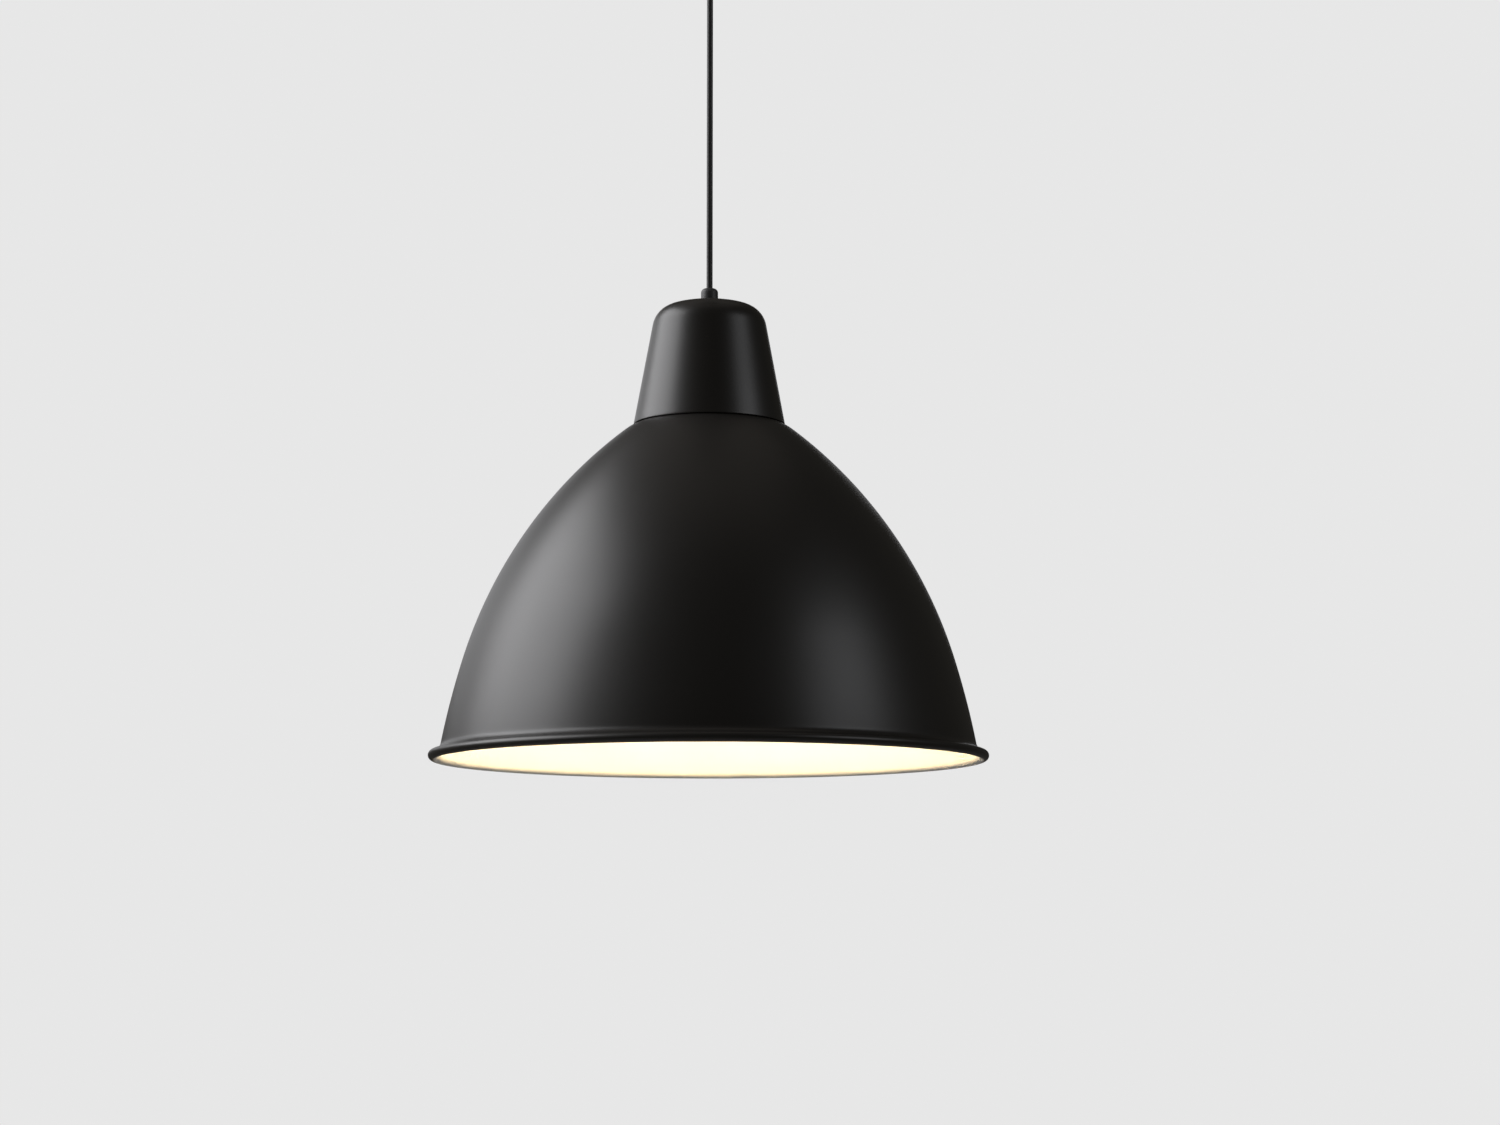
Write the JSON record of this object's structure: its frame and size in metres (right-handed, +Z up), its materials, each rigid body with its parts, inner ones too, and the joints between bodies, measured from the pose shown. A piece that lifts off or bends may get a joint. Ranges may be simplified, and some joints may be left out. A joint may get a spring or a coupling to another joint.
{
  "type": "pendant ceiling light",
  "caption": "Pendant ceiling light: a bell-shaped spun metal shade with a rolled rim, a conical socket cover, a round cord and a ceiling cup over its hook.",
  "frame": {"origin": "centre of the ceiling plate's top face, which lies against the ceiling; the light hangs below it", "axes": "+Z up along the cord's axis, out of the ceiling plate's top face; +X along the line of the plate's two screw holes"},
  "size_m": [0.38, 0.3798, 0.6313],
  "materials": {
    "powder_coat_black": "satin powder coat outside, warm white enamel inside",
    "cover_black": "satin powder coat",
    "dark_plastic": "fine moulded texture",
    "holder_black": "satin moulded thermoset",
    "cord_sheath": "smooth, slightly dull",
    "lead_brown": "smooth",
    "lead_blue": "smooth",
    "zinc_steel": "bright zinc plate",
    "brass": "drawn and machined",
    "white_plastic": "satin moulding",
    "ceramic": "glazed",
    "cap_nickel": "rolled sheet",
    "black_glass": "glossy",
    "opal": "satin opal",
    "board_white": "solder mask",
    "led_phosphor": "silicone gel",
    "board_green": "solder mask",
    "driver_dark": "shrink sleeve",
    "seal_rubber": "soft"
  },
  "bodies": {
    "ceiling_fixing": {"ceiling_plate": "zinc_steel", "ceiling_hook": "zinc_steel", "hook_nut": "zinc_steel"},
    "link_ring": {"suspension_ring": "zinc_steel"},
    "hanger": {"hanger_eye": "zinc_steel", "hanger_body": "white_plastic", "hanger_cover": "white_plastic", "clamp_screws": "zinc_steel", "terminal_block": "white_plastic", "terminal_tubes": "brass", "terminal_screws": "zinc_steel", "terminal_fixing_screw": "zinc_steel", "upper_lead_live": "lead_brown", "upper_lead_neutral": "lead_blue", "suspension_cord": "cord_sheath"},
    "cup": {"ceiling_cup": "cover_black", "cup_bush": "dark_plastic", "cup_bush_nut": "dark_plastic", "cup_grip_screw": "zinc_steel"},
    "lamp": {"shade": "powder_coat_black", "shade_crown": "powder_coat_black", "shade_ring": "holder_black", "lampholder_body": "holder_black", "lampholder_cap": "holder_black", "holder_bush": "dark_plastic", "holder_grip_screw": "zinc_steel", "contact_insert": "ceramic", "live_terminal": "brass", "neutral_terminal": "brass", "holder_terminal_screws": "zinc_steel", "thread_shell": "cap_nickel", "inner_lead_live": "lead_brown", "inner_lead_neutral": "lead_blue"},
    "cover": {"socket_cover": "cover_black", "cord_grip": "dark_plastic", "grip_seal": "seal_rubber", "cord_grip_nut": "dark_plastic"},
    "bulb_contact": {"bulb_tip": "brass"},
    "bulb": {"bulb_globe": "opal", "bulb_collar": "white_plastic", "bulb_cap": "cap_nickel", "bulb_insulator": "black_glass", "led_board": "board_white", "led_chips": "led_phosphor", "driver_board": "board_green", "driver_parts": "driver_dark"}
  },
  "joints": [
    {"name": "ring_swing", "type": "hinge", "parent": "ceiling_fixing", "child": "link_ring", "pos_m": [0, 0, -0.02797], "axis": [1, 0, 0], "range_deg": [-5, 5]},
    {"name": "hanger_swing", "type": "hinge", "parent": "link_ring", "child": "hanger", "pos_m": [0, 0, -0.03962], "axis": [0, 1, 0], "range_deg": [-5, 5]},
    {"name": "cup_slide", "type": "slide", "parent": "hanger", "child": "cup", "axis": [0, 0, 1], "range_m": [-0.11, 0]},
    {"name": "lamp_twist", "type": "hinge", "parent": "hanger", "child": "lamp", "pos_m": [0, 0, -0.358], "axis": [0, 0, 1], "range_deg": [-180, 180], "stiffness_Nm_per_rad": 0.004},
    {"name": "cover_lift", "type": "slide", "parent": "lamp", "child": "cover", "axis": [0, 0, 1], "range_m": [0, 0.1]},
    {"name": "bulb_draw", "type": "slide", "parent": "lamp", "child": "bulb_contact", "axis": [0, 0, -1], "range_m": [0, 0.0254]},
    {"name": "bulb_turn", "type": "hinge", "parent": "bulb_contact", "child": "bulb", "pos_m": [0, 0, -0.433], "axis": [0, 0, -1], "range_deg": [0, 2520]}
  ],
  "couplings": [
    {"joint": "bulb_draw", "follows": "bulb_turn", "m_per_rad": 0.00057757}
  ]
}
